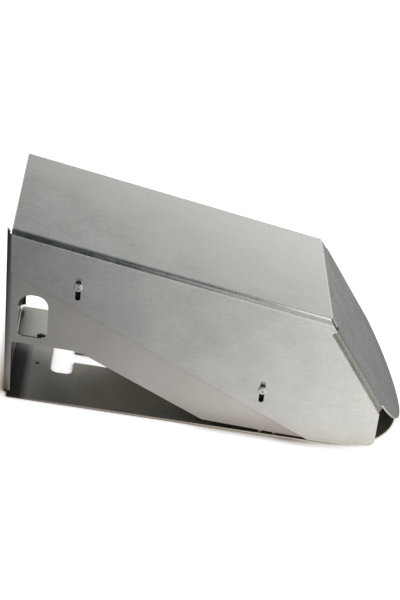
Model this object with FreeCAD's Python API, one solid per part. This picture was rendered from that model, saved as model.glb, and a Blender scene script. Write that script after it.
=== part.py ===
import FreeCAD, Part
import math
import os

# Sheet metal camera bracket: a folded base bracket under a folded cover that slides on four screws.
# Millimetres, Z up, X from the back plate to the nose, Y across.

# Sheet and its folds, of which those along the sides are rounder
sheet = 1.5
fold_inside = 1.5
fold_outside = fold_inside + sheet
side_fold_inside = 4.0
side_fold_outside = side_fold_inside + sheet

# Base bracket
width = 150.0
floor_straight = 293.0
back_height = 138.0
back_lean = 5.5
back_top_gap = 1.0
back_top_clearance = 0.5
corner_relief = 2.0
far_corner_depth = 28.0
side_rear_height = 57.5
side_rear_length = 60.0
side_slope = 23.5
side_foot_gap = 4.2
side_foot_gap_front = 0.5
side_foot_end = 282.0
side_front_setback = 14.0
tab_places = (231.7, 244.8)
tab_length = 3.0

# Cable window in each side of the base bracket
window_width = 26.4
window_height = 42.7
window_forward = 10.9
window_low = 65.5
window_corner = 12.0
window_low_corner = 6.0

# Opening, fixing holes and cable hole in the floor
lobe_start = 37.8
lobe_length = 21.3
lobe_width = 57.0
lobe_corner = 7.0
slit_width = 16.6
slit_length = 52.0
fixing_hole = 4.5
fixing_rear = 25.6
fixing_pitch_x = 210.0
fixing_pitch_y = 35.0
cable_hole = 9.0
cable_hole_rear = 25.2
cable_hole_side = 27.5

# Cable entry in the back plate
back_hole = 32.0
back_hole_height = 96.0

# Cover
cover_gap = 0.2
seat_gap = 0.4
roof_rear_height = 168.4
roof_rear_inset = 4.2
roof_slope = 7.8
roof_length = 286.8
roof_edge_round = 1.2
rear_depth = 39.8
foot_straight_start = 277.4
flap_angle = 51.2
flap_side = 101.3
flap_bow = 54.7
flap_inset = 2.4
flap_gap = 0.1
flap_notch = 4.0
flange_rise = 5.6
flange_width = 12.0
flange_top_drop = 11.5
flange_low_height = 42.0
nose_reach = 338.4
foot_straight_end = 300.0
nose_corner = 6.0
relief_width = 0.2

# Slots, screws and nut plates
screw_size = 4.0
slot_clearance = 0.3
slot_below = 13.4
slot_above = 9.2
screw_drops = ((50.3, 36.26), (226.2, 87.87))
head_width = 7.6
head_height = 2.6
head_round = 1.6
socket_width = 2.5
socket_depth = 1.3
screw_reach = 7.0
nut_width = 10.0
nut_margin = 5.0
nut_thickness = 3.2
under_head = 0.1

X = FreeCAD.Vector(1, 0, 0)
Y = FreeCAD.Vector(0, 1, 0)
Z = FreeCAD.Vector(0, 0, 1)
ORIGIN = FreeCAD.Vector(0, 0, 0)


def turned(angle):
    """Unit vector in the side view, by its angle above the forward direction."""
    a = math.radians(angle)
    return FreeCAD.Vector(math.cos(a), 0, math.sin(a))


up_back = turned(90 + back_lean)
forward = turned(back_lean)
along_roof = turned(-roof_slope)
roof_normal = turned(90 - roof_slope)
down_flap = turned(-flap_angle)
flap_normal = turned(90 - flap_angle)

# Construction lengths: past every edge of the part, over a trimmed face, and from the flap into the roof
beyond = roof_length * 2
trim_overlap = 0.5
flap_overlap = 12.0

half = width / 2
inside_half = half - sheet
side_half = inside_half - cover_gap
slot_width = screw_size + 2 * slot_clearance


def outline(points, origin, u, v):
    """Closed wire through points (a, b) or (a, b, radius), where a radius rounds the corner."""
    places = [origin + u * p[0] + v * p[1] for p in points]
    radii = [p[2] if len(p) > 2 else 0 for p in points]
    entries = []
    for i, here in enumerate(places):
        if radii[i] == 0:
            entries.append((here, None, here))
            continue
        before = (places[i - 1] - here).normalize()
        after = (places[(i + 1) % len(places)] - here).normalize()
        turn = before.getAngle(after) / 2
        reach = radii[i] / math.tan(turn)
        middle = here + (before + after).normalize() * (radii[i] / math.sin(turn) - radii[i])
        entries.append((here + before * reach, middle, here + after * reach))
    edges = []
    for i, (start, middle, end) in enumerate(entries):
        if middle is not None:
            edges.append(Part.Arc(start, middle, end).toShape())
        following = entries[(i + 1) % len(entries)][0]
        if end.distanceToPoint(following) > 1e-6:
            edges.append(Part.LineSegment(end, following).toShape())
    return Part.Wire(edges)


def plate(points, origin, u, v, depth):
    """Solid with the outline in the plane of u and v, pulled along the vector depth."""
    return Part.Face(outline(points, origin, u, v)).extrude(depth)


def side_prism(points, half_width):
    """Solid of a side view outline, as wide as twice half_width."""
    return plate(points, Y * -half_width, X, Z, Y * (2 * half_width))


def pair(point):
    return (point.x, point.z)


def channel(outer_half, depth, inner_radius, origin, away, along):
    """Sheet folded to a U: web at the origin, legs of the given depth along the vector away."""
    outer_radius = inner_radius + sheet
    inner_half = outer_half - sheet
    points = (
        (-outer_half, depth),
        (-outer_half, 0, outer_radius),
        (outer_half, 0, outer_radius),
        (outer_half, depth),
        (inner_half, depth),
        (inner_half, sheet, inner_radius),
        (-inner_half, sheet, inner_radius),
        (-inner_half, depth),
    )
    return plate(points, origin, Y, away, along)


def slot_prism(centre_low, centre_high, radius, half_width):
    """Slot with round ends through both sides, between two centres in the side view."""
    across = Y.cross(centre_high - centre_low).normalize()
    through = Y * (2 * half_width)
    start = Y * -half_width
    corners = [centre_low - across * radius, centre_low + across * radius,
               centre_high + across * radius, centre_high - across * radius]
    middle_part = Part.Face(Part.makePolygon([start + c for c in corners + corners[:1]])).extrude(through)
    ends = [Part.makeCylinder(radius, 2 * half_width, start + c, Y) for c in (centre_low, centre_high)]
    return middle_part.fuse(ends)


def base_bracket():
    """Floor, back plate and both sides, folded from one sheet."""
    # Floor and back plate, one bent strip seen from the side
    nose = floor_straight + half
    back_top = up_back * back_height
    strip = side_prism(
        (
            (nose, 0),
            (0, 0, fold_outside),
            pair(back_top),
            pair(back_top + forward * sheet),
            (sheet * math.tan(math.radians(45 - back_lean / 2)), sheet, fold_inside),
            (nose, sheet),
        ),
        half,
    )
    # The floor keeps the full width and a round nose, the bend and back plate lie between the side folds
    flat_half = side_half - side_fold_outside
    plan = Part.makeBox(floor_straight - fold_outside, width, sheet, FreeCAD.Vector(fold_outside, -half, 0))
    round_nose = Part.makeCylinder(half, sheet, FreeCAD.Vector(floor_straight, 0, 0), Z)
    back_corner = FreeCAD.Vector(fold_outside - back_height, -flat_half, 0)
    upright = Part.makeBox(back_height, 2 * flat_half, back_height, back_corner)
    floor = strip.common(plan.fuse([round_nose, upright]))
    # Sides, folded forward from the back plate and free of the bend at the floor
    sides = channel(side_half, nose, side_fold_inside, up_back * -width, forward, up_back * beyond)
    sides = sides.cut(side_trims())
    body = floor.fuse([sides, foot_tabs()])
    cuts = side_windows().fuse([plate_slots(), floor_cuts(), back_cut()])
    return body.cut(cuts).removeSplitter()


def side_trims():
    """What is cut away round the side plates, in the side view."""
    roof_rear, roof_front = roof_corners()
    clear = forward * (side_fold_outside + trim_overlap)
    fold_low = up_back * (fold_outside + corner_relief)
    foot_height = sheet + side_foot_gap
    foot_start = side_rear_length + (side_rear_height - foot_height) / math.tan(math.radians(side_slope))
    below = side_prism(
        (
            pair(clear + up_back * side_rear_height),
            (side_rear_length, side_rear_height),
            (foot_start, foot_height),
            (side_foot_end, sheet + side_foot_gap_front),
            (nose_reach - side_front_setback, flange_low_height),
            (beyond, flange_low_height),
            (beyond, -beyond),
            (-beyond, -beyond),
            pair(fold_low - forward * beyond),
            pair(fold_low + clear),
        ),
        width,
    )
    # Above the side plates, which end below the cover's fold and rise only behind the cover
    top = roof_rear - roof_normal * side_fold_outside
    behind = roof_rear - roof_normal * (sheet + back_top_gap) - along_roof * back_top_clearance
    above = side_prism(
        (
            pair(behind - along_roof * width),
            pair(behind),
            pair(top - along_roof * back_top_clearance),
            pair(top + along_roof * beyond),
            pair(top + along_roof * beyond + roof_normal * beyond),
            pair(behind - along_roof * width + roof_normal * beyond),
        ),
        width,
    )
    # In front of the side plates, along the flap
    front = roof_front - flap_normal * side_front_setback
    ahead = side_prism(
        (
            pair(front - down_flap * beyond),
            pair(front + down_flap * beyond),
            pair(front + down_flap * beyond + flap_normal * beyond),
            pair(front - down_flap * beyond + flap_normal * beyond),
        ),
        width,
    )
    # Web of the channel over the back plate's top edge
    web_top = up_back * back_height
    web_face = web_top + forward * (sheet + trim_overlap)
    web = side_prism(
        (
            pair(web_top - forward * sheet),
            pair(web_face),
            pair(web_face + up_back * width),
            pair(web_top - forward * sheet + up_back * width),
        ),
        side_half - side_fold_outside,
    )
    # Far rear corner of the fold, behind the cover's rear edge
    far_top = roof_rear - up_back * far_corner_depth
    far_corner = plate(
        (
            pair(far_top - forward * width),
            pair(far_top),
            pair(far_top + up_back * width),
            pair(far_top - forward * width + up_back * width),
        ),
        ORIGIN, X, Z, Y * width,
    )
    return below.fuse([above, ahead, web, far_corner])


def foot_tabs():
    """Short tabs that join the foot of each side plate to the floor."""
    tabs = []
    for place in tab_places:
        for side in (-1, 1):
            inner = side * side_half - (sheet if side > 0 else 0)
            tabs.append(Part.makeBox(tab_length, sheet, side_foot_gap + sheet,
                                     FreeCAD.Vector(place, inner, sheet / 2)))
    return tabs[0].fuse(tabs[1:])


def side_windows():
    """Upright cable window with round corners, through both side plates."""
    corner = X * window_forward + up_back * window_low
    points = (
        (0, 0, window_low_corner),
        (window_width, 0, window_low_corner),
        (window_width, window_height, window_corner),
        (0, window_height, window_corner),
    )
    return plate(points, corner - Y * width, X, up_back, Y * (2 * width))


def screw_points():
    """Screw axis places in the side view, each by its drop below the roof."""
    roof_rear, _ = roof_corners()
    fall = math.tan(math.radians(roof_slope))
    return [FreeCAD.Vector(x, 0, roof_rear.z - fall * (x - roof_rear.x) - drop) for x, drop in screw_drops]


def slot_low(point):
    """Centre of the low round end of the slot below a screw."""
    return point - up_back * (slot_below - slot_width / 2)


def plate_slots():
    """Upright slots in the side plates, from each screw down to the low end of the cover's slot."""
    slots = [slot_prism(slot_low(point), point, slot_width / 2, width) for point in screw_points()]
    return slots[0].fuse(slots[1:])


def floor_cuts():
    """Lobed opening, four fixing holes and a cable hole in the floor."""
    depth = Z * (sheet * 3)
    base = Z * (-sheet)
    lobe_end = lobe_start + lobe_length
    lobe = plate(
        (
            (lobe_start, -lobe_width / 2, lobe_corner),
            (lobe_end, -lobe_width / 2, lobe_corner),
            (lobe_end, lobe_width / 2, lobe_corner),
            (lobe_start, lobe_width / 2, lobe_corner),
        ),
        base, X, Y, depth,
    )
    slit_end = lobe_end + slit_length
    slit = plate(
        (
            (lobe_end - lobe_corner, -slit_width / 2),
            (slit_end, -slit_width / 2, lobe_corner),
            (slit_end, slit_width / 2, lobe_corner),
            (lobe_end - lobe_corner, slit_width / 2),
        ),
        base, X, Y, depth,
    )
    cuts = [slit]
    for x in (fixing_rear, fixing_rear + fixing_pitch_x):
        for y in (-fixing_pitch_y / 2, fixing_pitch_y / 2):
            cuts.append(Part.makeCylinder(fixing_hole / 2, depth.z, base + X * x + Y * y, Z))
    cable = base + X * cable_hole_rear + Y * cable_hole_side
    cuts.append(Part.makeCylinder(cable_hole / 2, depth.z, cable, Z))
    return lobe.fuse(cuts)


def back_cut():
    """Round cable entry through the back plate."""
    centre = up_back * back_hole_height - forward * sheet
    return Part.makeCylinder(back_hole / 2, sheet * 3, centre, forward)


def roof_corners():
    """Rear and front corner of the roof's outer face in the side view."""
    rise = roof_rear_height / math.cos(math.radians(back_lean))
    roof_rear = up_back * rise + forward * roof_rear_inset
    return roof_rear, roof_rear + along_roof * roof_length


def cover_side_outline():
    """Side view outline of the cover's side panels, and both ends of the fold of its flanges."""
    roof_rear, roof_front = roof_corners()
    seat = sheet + seat_gap
    foot_end = FreeCAD.Vector(foot_straight_end, 0, seat)
    nose_run = (nose_reach - foot_straight_end) / math.cos(math.radians(back_lean))
    nose_low = foot_end + forward * nose_run
    nose_height = (flange_low_height - nose_low.z) / math.cos(math.radians(back_lean))
    nose_high = nose_low + up_back * nose_height
    fold = roof_front - flap_normal * (sheet + flap_gap + flange_rise)
    low_run = (fold.z - flange_low_height) / math.sin(math.radians(flap_angle))
    fold_low = fold + down_flap * low_run
    fold_high = fold + down_flap * flange_top_drop
    # Relief slit between the flap and the side panel, down to the flange
    slit_depth = sheet + relief_width
    slit_start = roof_front - along_roof * (slit_depth / math.sin(math.radians(flap_angle - roof_slope)))
    slit_end = roof_front - flap_normal * slit_depth + down_flap * flange_top_drop
    return (
        pair(roof_rear) + (roof_edge_round,),
        pair(slit_start),
        pair(slit_end),
        pair(fold_high),
        pair(fold_low),
        pair(nose_high),
        pair(nose_low) + (nose_corner,),
        pair(foot_end),
        (foot_straight_start, seat),
        pair(roof_rear - up_back * rear_depth),
    ), fold_high, fold_low


def cover():
    """Roof, side panels, front flap and front flanges, folded from one sheet."""
    roof_rear, roof_front = roof_corners()
    points, fold_high, fold_low = cover_side_outline()
    start = roof_rear - along_roof * width
    shell = channel(half, beyond, side_fold_inside, start, roof_normal * -1, along_roof * beyond)
    shell = shell.common(side_prism(points, width))
    # Front flap, bent down from the roof, with a bowed lower edge
    tip = roof_front + down_flap * (flap_side + flap_bow)
    lead = roof_front - along_roof * flap_overlap
    bent = side_prism(
        (
            pair(lead),
            pair(roof_front) + (fold_outside,),
            pair(tip),
            pair(tip - flap_normal * sheet),
            pair(bend_inside(roof_front)) + (fold_inside,),
            pair(lead - roof_normal * sheet),
        ),
        half - flap_inset,
    )
    flap = bent.common(flap_blank(roof_front))
    flanges = [front_flange(side, fold_high, fold_low) for side in (-1, 1)]
    return shell.fuse([flap] + flanges).cut(cover_slots()).removeSplitter()


def bend_inside(roof_front):
    """Inner corner of the bend between roof and flap."""
    half_turn = math.radians((flap_angle - roof_slope) / 2)
    inward = (roof_normal + flap_normal).normalize() * (sheet / math.cos(half_turn))
    return roof_front - inward


def flap_blank(roof_front):
    """Flat shape of the flap with its relief notches and bowed edge, thick enough to trim the bent strip."""
    across = Y * (half - flap_inset)
    start = roof_front + flap_normal * flap_overlap
    depth = flap_normal * (-4 * flap_overlap)
    corner_a = start - across + down_flap * flap_side
    corner_b = start + across + down_flap * flap_side
    lowest = start + down_flap * (flap_side + flap_bow)
    top_a = start - across - down_flap * (2 * flap_overlap)
    top_b = start + across - down_flap * (2 * flap_overlap)
    edges = [
        Part.LineSegment(top_b, top_a).toShape(),
        Part.LineSegment(top_a, corner_a).toShape(),
        Part.Arc(corner_a, lowest, corner_b).toShape(),
        Part.LineSegment(corner_b, top_b).toShape(),
    ]
    blank = Part.Face(Part.Wire(edges)).extrude(depth)
    # Relief notch in both edges, from the roof through the bend down to the flanges
    notch_start = -2 * flap_overlap
    notches = []
    for side in (-1, 1):
        points = (
            (0, notch_start),
            (flap_notch, notch_start),
            (flap_notch, flange_top_drop),
            (0, flange_top_drop),
        )
        edge = start + Y * (side * (half - flap_inset))
        notches.append(plate(points, edge, Y * -side, down_flap, depth))
    return blank.cut(notches)


def front_flange(side, fold_high, fold_low):
    """Flange folded inward at a slant from the side panel, then flat behind the flap's edge."""
    lean_in = sheet * math.tan(math.radians(22.5))
    points = (
        (0, -sheet),
        (0, 0, fold_outside),
        (flange_rise, flange_rise, fold_inside),
        (flange_width, flange_rise),
        (flange_width, flange_rise - sheet),
        (flange_rise + lean_in, flange_rise - sheet),
        (sheet, -lean_in, fold_inside),
        (sheet, -sheet),
    )
    start = fold_high + Y * (side * half)
    return plate(points, start, Y * -side, flap_normal, fold_low - fold_high)


def cover_slots():
    """Upright slots in both side panels, in line with the back plate."""
    cuts = []
    for point in screw_points():
        high = point + up_back * (slot_above - slot_width / 2)
        cuts.append(slot_prism(slot_low(point), high, slot_width / 2, width))
    return cuts[0].fuse(cuts[1:])


def screw(point, side):
    """Button head screw with a hexagon socket, head outside the cover."""
    inward = Y * -side
    seat = point + Y * (side * (half + under_head))
    head = Part.makeCylinder(head_width / 2, head_height, seat, inward * -1)
    rim = [e for e in head.Edges if abs(e.CenterOfMass.y - (seat.y + side * head_height)) < 1e-6]
    head = head.makeFillet(head_round, rim)
    shank = Part.makeCylinder(screw_size / 2, screw_reach, seat, inward)
    # Hexagon socket, by its width across flats
    corners = [(i / math.sqrt(3) * socket_width, j / 2 * socket_width)
               for i, j in ((1, 0), (0.5, 1), (-0.5, 1), (-1, 0), (-0.5, -1), (0.5, -1))]
    socket = plate(corners, seat - inward * head_height, X, Z, inward * socket_depth)
    return head.fuse(shank).cut(socket)


def nut_plate(point, side):
    """Plate with the screw's thread, on the inner face of the side plate and over its whole slot."""
    inward = Y * -side
    seat = point + Y * (side * (side_half - sheet))
    low = slot_width / 2 - slot_below - nut_margin
    side_edge = nut_width / 2
    corners = ((-side_edge, low), (side_edge, low), (side_edge, nut_margin), (-side_edge, nut_margin))
    body = plate(corners, seat, forward, up_back, inward * nut_thickness)
    return body.cut(Part.makeCylinder(screw_size / 2, nut_thickness, seat, inward))


def each_side(make):
    """One piece at every screw place on both sides, as separate solids."""
    return Part.makeCompound([make(p, side) for p in screw_points() for side in (-1, 1)])


nodes = {
    "base_bracket": base_bracket(),
    "cover": cover(),
    "cover_screws": each_side(screw),
    "nut_plates": each_side(nut_plate),
}

# The origin is the middle of the footprint, at the underside of the floor
extent = FreeCAD.BoundBox()
for shape in nodes.values():
    extent.add(shape.BoundBox)
middle = (extent.XMin + extent.XMax) / 2

os.makedirs("parts", exist_ok=True)
for name, shape in nodes.items():
    shape.translate(X * -middle)
    shape.exportStep("parts/" + name + ".step")
    print(name, len(shape.Solids), "solids", round(shape.Volume), "mm3", shape.isValid())
print("middle", round(middle, 3), "size", extent)
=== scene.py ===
import math

import bmesh
import bpy
from mathutils import Matrix, Vector

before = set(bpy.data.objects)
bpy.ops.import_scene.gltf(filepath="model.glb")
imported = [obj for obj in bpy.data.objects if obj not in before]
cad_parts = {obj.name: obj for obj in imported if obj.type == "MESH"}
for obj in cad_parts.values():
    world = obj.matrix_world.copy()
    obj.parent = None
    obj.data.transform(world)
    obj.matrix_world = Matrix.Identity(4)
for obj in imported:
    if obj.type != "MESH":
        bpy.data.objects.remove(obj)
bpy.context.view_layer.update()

# Camera. It stands on the near side, a little behind the middle of the bracket, and looks down at it.
# It is rolled by the angle that the bracket's edges have in the photograph.
eye = Vector((-0.1455, -1.1693, 0.7911))
yaw = math.radians(-6.42)
pitch = math.radians(30.96)
roll = math.radians(12.34)
focal_pixels = 1500
image_height = 600

camera_data = bpy.data.cameras.new("camera")
camera_data.sensor_fit = "VERTICAL"
camera_data.sensor_height = 36
camera_data.lens = focal_pixels / image_height * camera_data.sensor_height
camera_data.clip_start = 0.05
camera = bpy.data.objects.new("camera", camera_data)
bpy.context.scene.collection.objects.link(camera)
bpy.context.scene.camera = camera
turn = Matrix.Rotation(yaw, 4, "Z") @ Matrix.Rotation(-pitch, 4, "X") @ Matrix.Rotation(-roll, 4, "Y")
camera.matrix_world = Matrix.Translation(eye) @ turn @ Matrix.Rotation(math.pi / 2, 4, "X")


# Sheet metal finish with painted corner shade. Both folded pieces are cut from satin stainless sheet of one
# batch.
# It has a fine mottled grain and soft cloudy patches, and painted shade can darken its inner corners.
def add_node(tree, kind, links=None, **settings):
    """A node with its settings, its sockets filled by value or joined to another node's socket."""
    node = tree.nodes.new(kind)
    for key, value in settings.items():
        setattr(node, key, value)
    for key, value in (links or {}).items():
        socket = node.inputs[key]
        if isinstance(value, bpy.types.NodeSocket):
            tree.links.new(value, socket)
        else:
            socket.default_value = value
    return node


def calculate(tree, operation, *values):
    """Result of a math node on one to three values."""
    return add_node(tree, "ShaderNodeMath", dict(enumerate(values)), operation=operation).outputs[0]


def product(tree, *factors):
    """Product of two or more values."""
    result = factors[0]
    for factor in factors[1:]:
        result = calculate(tree, "MULTIPLY", result, factor)
    return result


def ramp(tree, value, reach, levels=(0.0, 1.0)):
    """Level that changes evenly while a value goes from one end of its reach to the other."""
    return add_node(tree, "ShaderNodeMapRange", {"Value": value, "From Min": reach[0], "From Max": reach[1],
                                                 "To Min": levels[0], "To Max": levels[1]}).outputs[0]


def axes(tree, output):
    """The X, Y and Z values of one of the texture coordinates."""
    position = add_node(tree, "ShaderNodeTexCoord").outputs[output]
    return add_node(tree, "ShaderNodeSeparateXYZ", {0: position}).outputs


def noise(tree, position, scale, **settings):
    """Noise pattern whose features repeat about as often per metre as its scale says."""
    values = {"Vector": position, "Scale": scale, **settings}
    return add_node(tree, "ShaderNodeTexNoise", values).outputs["Fac"]


def dimmed(tree, colour, factor):
    """Colour made darker or lighter by a factor."""
    return add_node(tree, "ShaderNodeVectorMath", {0: colour, "Scale": factor}, operation="SCALE").outputs[0]


def occlusion(tree, reach, samples):
    """How open a point's surroundings are within a reach, from 0 to 1."""
    return add_node(tree, "ShaderNodeAmbientOcclusion", {"Distance": reach}, samples=samples).outputs["AO"]


grain_repeats = (200, 450, 450)
speck_repeats = 200.0
cloud_repeats = 26.0
tone_swing = 0.08
roughness_swing = 0.05
bump_strength = 0.01
bump_height = 0.0002
corner_reach = 0.03
underside_height = (0.0013, 0.0015)

finish_and_shade = bpy.data.node_groups.new("sheet_finish_and_shade", "ShaderNodeTree")
for label, kind, value in (
    ("Tone", "NodeSocketColor", (0.6, 0.6, 0.6, 1)),
    ("Grain", "NodeSocketFloat", 0.5),
    ("Clouds", "NodeSocketFloat", 0.5),
    ("Roughness", "NodeSocketFloat", 0.4),
    ("Painted_corner_shade", "NodeSocketFloat", 0.0),
):
    finish_and_shade.interface.new_socket(label, in_out="INPUT", socket_type=kind).default_value = value
for label, kind in (
    ("Color", "NodeSocketColor"),
    ("Roughness", "NodeSocketFloat"),
    ("Height", "NodeSocketFloat"),
):
    finish_and_shade.interface.new_socket(label, in_out="OUTPUT", socket_type=kind)
given = finish_and_shade.nodes.new("NodeGroupInput").outputs
sheet_place = add_node(finish_and_shade, "ShaderNodeTexCoord").outputs["Object"]
stretched = add_node(finish_and_shade, "ShaderNodeMapping", {"Vector": sheet_place, "Scale": grain_repeats})
grain = noise(finish_and_shade, stretched.outputs["Vector"], 1.0, Detail=4.0, Roughness=0.6)
specks = noise(finish_and_shade, sheet_place, speck_repeats, Detail=2.0)
clouds = noise(finish_and_shade, sheet_place, cloud_repeats, Detail=3.0, Roughness=0.55)
fine_pattern = ramp(finish_and_shade, calculate(finish_and_shade, "ADD", grain, specks), (0.6, 1.4), (-1.0, 1.0))
broad_pattern = ramp(finish_and_shade, clouds, (0.3, 0.7), (-1.0, 1.0))
fine_part = product(finish_and_shade, fine_pattern, given["Grain"])
broad_part = product(finish_and_shade, broad_pattern, given["Clouds"])
unevenness = calculate(finish_and_shade, "ADD", fine_part, broad_part)
mottled = dimmed(finish_and_shade, given["Tone"], calculate(finish_and_shade, "MULTIPLY_ADD", unevenness, tone_swing, 1.0))
# Painted shade: the colour darkens where nearby surfaces close in, except on the sheet's underside.
closed = ramp(finish_and_shade, occlusion(finish_and_shade, corner_reach, 8), (0.95, 0.45))
above_underside = ramp(finish_and_shade, axes(finish_and_shade, "Object")["Z"], underside_height)
corner_shade = product(finish_and_shade, closed, given["Painted_corner_shade"], above_underside)
shaded = dimmed(finish_and_shade, mottled, calculate(finish_and_shade, "SUBTRACT", 1.0, corner_shade))
uneven_gloss = calculate(finish_and_shade, "MULTIPLY_ADD", unevenness, roughness_swing, given["Roughness"])
add_node(finish_and_shade, "NodeGroupOutput", {"Color": shaded, "Roughness": uneven_gloss, "Height": fine_part})


def sheet_material(name, tone, grain, clouds, roughness):
    """Metal whose colour, roughness and bump come from the sheet finish, with its painted corner shade."""
    material = bpy.data.materials.new(name)
    material.use_nodes = True
    tree = material.node_tree
    surface = tree.nodes["Principled BSDF"]
    look = add_node(tree, "ShaderNodeGroup", node_tree=finish_and_shade, name="finish_and_shade")
    for label, value in (("Tone", tone), ("Grain", grain), ("Clouds", clouds), ("Roughness", roughness)):
        look.inputs[label].default_value = value
    bump = add_node(tree, "ShaderNodeBump",
                    {"Height": look.outputs["Height"], "Strength": bump_strength, "Distance": bump_height})
    surface.inputs["Metallic"].default_value = 1.0
    tree.links.new(look.outputs["Color"], surface.inputs["Base Color"])
    tree.links.new(look.outputs["Roughness"], surface.inputs["Roughness"])
    tree.links.new(bump.outputs["Normal"], surface.inputs["Normal"])
    return material


def sideways_facing(tree):
    """1 where a surface faces to either side of the bracket, otherwise 0."""
    return ramp(tree, calculate(tree, "ABSOLUTE", axes(tree, "Normal")["Y"]), (0.9, 0.95))


def tone_colour(material, factors, tone):
    """Multiplies a material's colour by a tone where all factors are 1."""
    tree = material.node_tree
    socket = tree.nodes["Principled BSDF"].inputs["Base Color"]
    mix = add_node(tree, "ShaderNodeMix", data_type="RGBA", blend_type="MULTIPLY")
    tree.links.new(product(tree, *factors), mix.inputs["Factor"])
    tree.links.new(socket.links[0].from_socket, mix.inputs[6])
    mix.inputs[7].default_value = tone
    tree.links.new(mix.outputs[2], socket)


def dress(node, material):
    """Gives a carried-over piece its material."""
    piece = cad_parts[node]
    for slot in piece.material_slots:
        slot.material = material
    if not piece.material_slots:
        piece.data.materials.append(material)


# Base bracket. One sheet folded to a floor, a back plate and two side plates.
# It is satin stainless steel, a little warmer in tone than the cover.
# Its colour carries painted shade: in its inner corners, more lightly on the outer faces of its side plates,
# and at the rear of its floor, where the cover shades it.
corner_shade_depth = 0.85
outer_corner_shade_depth = 0.42
side_plate_face = (0.073, 0.0732)
bracket_tone = (0.755, 0.725, 0.665, 1)
rear_end_shade_tone = (0.2, 0.2, 0.21, 1)
rear_part_shade_tone = (0.66, 0.67, 0.7, 1)

bracket_sheet = sheet_material("bracket_sheet", bracket_tone, grain=0.4, clouds=0.6, roughness=0.3)
bracket_tree = bracket_sheet.node_tree
bracket_x, bracket_y, bracket_z = axes(bracket_tree, "Object")
# Painted shade: the near half of the floor's top is darkened strongly at its rear end and mildly, a little
# bluer, along its rear part.
on_floor = ramp(bracket_tree, bracket_z, (0.003, 0.006), (1.0, 0.0))
near_half = ramp(bracket_tree, bracket_y, (-0.005, 0.02), (1.0, 0.0))
rear_end_shade = ramp(bracket_tree, bracket_x, (-0.163, -0.156), (1.0, 0.0))
rear_part_shade = ramp(bracket_tree, bracket_x, (-0.15, -0.115), (1.0, 0.0))
tone_colour(bracket_sheet, (rear_end_shade, on_floor, near_half), rear_end_shade_tone)
tone_colour(bracket_sheet, (rear_part_shade, on_floor, near_half), rear_part_shade_tone)
# Painted corner shade, lighter on the outer faces of the side plates.
far_out = ramp(bracket_tree, calculate(bracket_tree, "ABSOLUTE", bracket_y), side_plate_face)
outer_face = product(bracket_tree, far_out, sideways_facing(bracket_tree))
shade_depth = ramp(bracket_tree, outer_face, (0.0, 1.0), (corner_shade_depth, outer_corner_shade_depth))
bracket_tree.links.new(shade_depth, bracket_tree.nodes["finish_and_shade"].inputs["Painted_corner_shade"])
dress("base_bracket", bracket_sheet)

# Cover. One sheet folded to a roof, two side panels, the front flap and two narrow flanges.
# It is the same satin sheet. Painted shade makes the cut side edges of the flap darker and bluer than its
# face.
flap_edge = 0.0726
edge_band = 0.0004
cover_tone = (0.735, 0.74, 0.7, 1)
cut_edge_shade_tone = (0.3, 0.34, 0.4, 1)

cover_sheet = sheet_material("cover_sheet", cover_tone, grain=0.75, clouds=0.9, roughness=0.27)
cover_tree = cover_sheet.node_tree
cover_side = calculate(cover_tree, "ABSOLUTE", axes(cover_tree, "Object")["Y"])
# Painted shade on the flap's cut side edges.
flap_edge_shade = calculate(cover_tree, "COMPARE", cover_side, flap_edge, edge_band)
tone_colour(cover_sheet, (flap_edge_shade, sideways_facing(cover_tree)), cut_edge_shade_tone)
dress("cover", cover_sheet)


# Screws and nut plates. Button head screws of bright zinc plated steel hold the cover by its slots.
# Each screws into a black plate inside, which shows as the dark low end of the slot.
# Above the screw the plate is bare metal.
def blend_colour(tree, factor, first, second):
    """Colour between two others, which are constants or sockets."""
    mix = add_node(tree, "ShaderNodeMix", {"Factor": factor, 6: first, 7: second}, data_type="RGBA")
    return mix.outputs[2]


zinc_tone = (0.92, 0.92, 0.9, 1)
oxide_tone = (0.02, 0.02, 0.02, 1)
bare_tone = (0.6, 0.6, 0.58, 1)

dress("cover_screws", sheet_material("bright_zinc", zinc_tone, grain=0.2, clouds=0.2, roughness=0.45))

black_oxide = sheet_material("black_oxide", oxide_tone, grain=0.2, clouds=0.2, roughness=0.45)
rear_row = []
front_row = []
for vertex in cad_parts["cover_screws"].data.vertices:
    (rear_row if vertex.co.x < 0 else front_row).append(vertex.co.z)
screw_heights = [(min(row) + max(row)) / 2 for row in (rear_row, front_row)]
plate_tree = black_oxide.node_tree
plate_place = axes(plate_tree, "Object")
screw_height = ramp(plate_tree, plate_place["X"], (-0.05, 0.0), screw_heights)
height_over_screw = calculate(plate_tree, "SUBTRACT", plate_place["Z"], screw_height)
above_screw = ramp(plate_tree, height_over_screw, (0.001, 0.002))
plate_colour = blend_colour(plate_tree, above_screw, oxide_tone, bare_tone)
plate_tree.links.new(plate_colour, plate_tree.nodes["Principled BSDF"].inputs["Base Color"])
dress("nut_plates", black_oxide)

# Floor and backdrop. One large sheet of paper under the bracket that runs far behind it.
# The camera sees it white, with a narrow contact shadow. What the metal mirrors of it is a soft grey
# that fades to the left and to the back, as the photograph's metal shows.
floor_size = 6.0
floor_drop = 0.0003
contact_reach = 0.016
paper_glow = 0.9
contact_shadow_tone = (0.12, 0.08, 0.045, 1)
tip_contact_shadow_tone = (0.6, 0.58, 0.55, 1)
under_floor_shade_tone = (0.01, 0.01, 0.012, 1)
white_tone = (1, 1, 1, 1)
cool_tone = (0.94, 0.95, 1.0, 1)
warm_tone = (1.0, 0.965, 0.94, 1)
beside_shade_tone = (1.0, 0.91, 0.82, 1)
left_tone = (0.55, 0.78, 1.0, 1)

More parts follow.
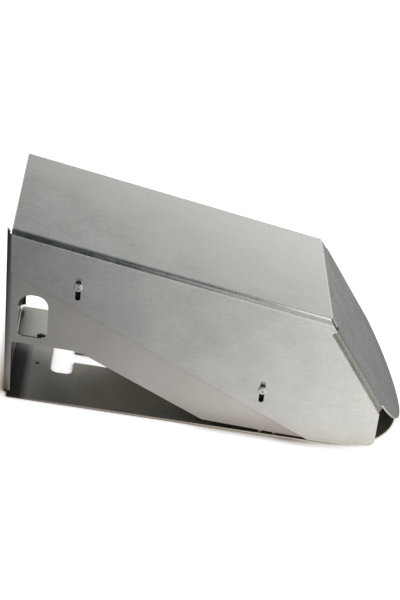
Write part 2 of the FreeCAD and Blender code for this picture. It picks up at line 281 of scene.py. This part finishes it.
floor_mesh = bpy.data.meshes.new("studio_floor")
shape = bmesh.new()
bmesh.ops.create_grid(shape, x_segments=1, y_segments=1, size=floor_size / 2)
bmesh.ops.translate(shape, verts=shape.verts, vec=(0, 0, -floor_drop))
shape.to_mesh(floor_mesh)
shape.free()
studio_floor = bpy.data.objects.new("studio_floor", floor_mesh)
bpy.context.scene.collection.objects.link(studio_floor)

white_paper = bpy.data.materials.new("white_paper")
white_paper.use_nodes = True
paper_tree = white_paper.node_tree
paper_tree.nodes.clear()
paper_place = add_node(paper_tree, "ShaderNodeTexCoord").outputs["Object"]
paper_x, paper_y = axes(paper_tree, "Object")[:2]

# Paper in the metal's reflections: its brightness, then its colour.
rightness = ramp(paper_tree, paper_x, (-0.28, 0.25))
frontness = ramp(paper_tree, paper_y, (-0.1, 0.0), (1.0, 0.0))
right_level = ramp(paper_tree, calculate(paper_tree, "POWER", rightness, 1.4), (0.0, 1.0), (0.18, 1.1))
front_level = ramp(paper_tree, frontness, (0.0, 1.0), (0.245, 1.0))
near_level = ramp(paper_tree, paper_y, (-0.24, -0.13), (0.92, 1.05))
left_level = ramp(paper_tree, paper_x, (-0.45, -0.21), (0.06, 1.0))
distance = add_node(paper_tree, "ShaderNodeVectorMath", {0: paper_place}, operation="LENGTH")
far_level = ramp(paper_tree, distance.outputs["Value"], (0.75, 1.3), (0.0, 0.4))
close_level = product(paper_tree, right_level, front_level, near_level, left_level)
paper_level = calculate(paper_tree, "ADD", close_level, far_level)
warmth = product(paper_tree, rightness, ramp(paper_tree, frontness, (0.0, 1.0), (0.45, 1.0)))
# Painted shade: in what the metal mirrors, the paper right beside the bracket's near side is tinted warm and
# slightly darker.
beside_bracket_shade = product(paper_tree, ramp(paper_tree, paper_y, (-0.1, -0.078)), frontness)
right_tint = blend_colour(paper_tree, warmth, cool_tone, warm_tone)
warmed_tint = blend_colour(paper_tree, beside_bracket_shade, right_tint, beside_shade_tone)
paper_tint = blend_colour(paper_tree, left_level, left_tone, warmed_tint)
mirrored = add_node(paper_tree, "ShaderNodeEmission", {"Color": paper_tint, "Strength": paper_level})

# Paper seen by the camera: white, with a painted contact shadow and painted deep shade under the floor's
# rear end.
# Painted contact shadow: darker and brownish where nearby surfaces close in, paler towards the bracket's
# tip.
clear = ramp(paper_tree, occlusion(paper_tree, contact_reach, 16), (0.5, 0.98))
at_tip = ramp(paper_tree, paper_x, (0.085, 0.125))
contact_shadow_colour = blend_colour(paper_tree, at_tip, contact_shadow_tone, tip_contact_shadow_tone)
contact_shaded_colour = blend_colour(paper_tree, clear, contact_shadow_colour, white_tone)
# Painted shade: the paper under the floor's rear end is near black.
under_rear_shade = product(paper_tree, ramp(paper_tree, paper_x, (-0.172, -0.17)),
                     ramp(paper_tree, paper_x, (-0.142, -0.14), (1.0, 0.0)),
                     ramp(paper_tree, calculate(paper_tree, "ABSOLUTE", paper_y), (0.04, 0.045), (1.0, 0.0)))
paper_colour = blend_colour(paper_tree, under_rear_shade, contact_shaded_colour, under_floor_shade_tone)
matt = add_node(paper_tree, "ShaderNodeBsdfDiffuse", {"Color": paper_colour})
glow = add_node(paper_tree, "ShaderNodeEmission", {"Color": paper_colour, "Strength": paper_glow})
seen = add_node(paper_tree, "ShaderNodeAddShader", {0: matt.outputs[0], 1: glow.outputs[0]})
paper_rays = add_node(paper_tree, "ShaderNodeLightPath")
paper_choice = add_node(paper_tree, "ShaderNodeMixShader",
                        {0: paper_rays.outputs["Is Camera Ray"], 1: mirrored.outputs[0], 2: seen.outputs[0]})
add_node(paper_tree, "ShaderNodeOutputMaterial", {"Surface": paper_choice.outputs[0]})
floor_mesh.materials.append(white_paper)

# World. Plain white behind the bracket, and a soft grey room that the metal mirrors.
# The room is dark and cool in front and near the horizon, and light behind and to the right.
cool_room_tone = (0.7, 0.85, 1.0, 1)

world = bpy.data.worlds.new("studio")
bpy.context.scene.world = world
world.use_nodes = True
sky_tree = world.node_tree
sky_tree.nodes.clear()
sky_x, sky_y, sky_z = axes(sky_tree, "Generated")
depthness = ramp(sky_tree, sky_y, (0.0, 0.87))
room_level = product(sky_tree, ramp(sky_tree, sky_x, (-0.07, 0.4), (0.07, 0.72)),
                     ramp(sky_tree, depthness, (0.0, 1.0), (0.05, 1.0)),
                     ramp(sky_tree, sky_z, (0.0, 0.4), (0.25, 1.0)))
right_wall = ramp(sky_tree, sky_x, (0.55, 0.9), (0.0, 0.12))
right_lamp = product(sky_tree, ramp(sky_tree, sky_x, (0.45, 0.7), (0.0, 0.35)),
                     ramp(sky_tree, sky_z, (0.22, 0.45)))
left_wall = product(sky_tree, ramp(sky_tree, sky_x, (-0.45, -0.15), (0.5, 0.0)),
                    ramp(sky_tree, sky_z, (0.0, 0.3), (0.5, 1.0)))
for extra in (right_wall, right_lamp, left_wall):
    room_level = calculate(sky_tree, "ADD", room_level, extra)
side_whiteness = ramp(sky_tree, calculate(sky_tree, "ABSOLUTE", sky_x), (0.4, 0.7))
paleness = calculate(sky_tree, "MAXIMUM", depthness, side_whiteness)
room_tint = blend_colour(sky_tree, paleness, cool_room_tone, white_tone)
room = add_node(sky_tree, "ShaderNodeBackground", {"Color": room_tint, "Strength": room_level})
plain_white = add_node(sky_tree, "ShaderNodeBackground", {"Color": white_tone, "Strength": 1.0})
sky_rays = add_node(sky_tree, "ShaderNodeLightPath")
sky_choice = add_node(sky_tree, "ShaderNodeMixShader",
                      {0: sky_rays.outputs["Is Camera Ray"], 1: room.outputs[0], 2: plain_white.outputs[0]})
add_node(sky_tree, "ShaderNodeOutputWorld", {"Surface": sky_choice.outputs[0]})

# Lamps. Two soft boxes hang over the front right, where they light the right part of the long bend.
# A wide low card behind makes the roof lighter towards its far edge. A faint lamp inside lights the floor.
soft_boxes = (
    # name, place, point it is aimed at, size and watts
    ("front_box", (0.52, -0.55, 0.5), (0.5, 0.0, 0.1), (0.8, 0.8), 1.1),
    ("top_box", (0.45, 0.0, 0.75), (0.3, 0.0, 0.15), (0.5, 0.3), 0.7),
    ("back_card", (0.0, 0.65, 0.32), (0.0, 0.0, 0.2), (3.0, 0.27), 1.15),
    ("inner_fill", (-0.06, 0.0, 0.13), (-0.06, 0.0, 0.0), (0.16, 0.1), 0.004),
)
for name, lamp_place, aim, size, watts in soft_boxes:
    lamp_data = bpy.data.lights.new(name, "AREA")
    lamp_data.shape = "RECTANGLE"
    lamp_data.size, lamp_data.size_y = size
    lamp_data.energy = watts
    lamp = bpy.data.objects.new(name, lamp_data)
    bpy.context.scene.collection.objects.link(lamp)
    heading = (Vector(aim) - Vector(lamp_place)).to_track_quat("-Z", "Y").to_matrix().to_4x4()
    lamp.matrix_world = Matrix.Translation(lamp_place) @ heading
    lamp.visible_camera = False

bpy.context.scene.view_settings.view_transform = "Standard"
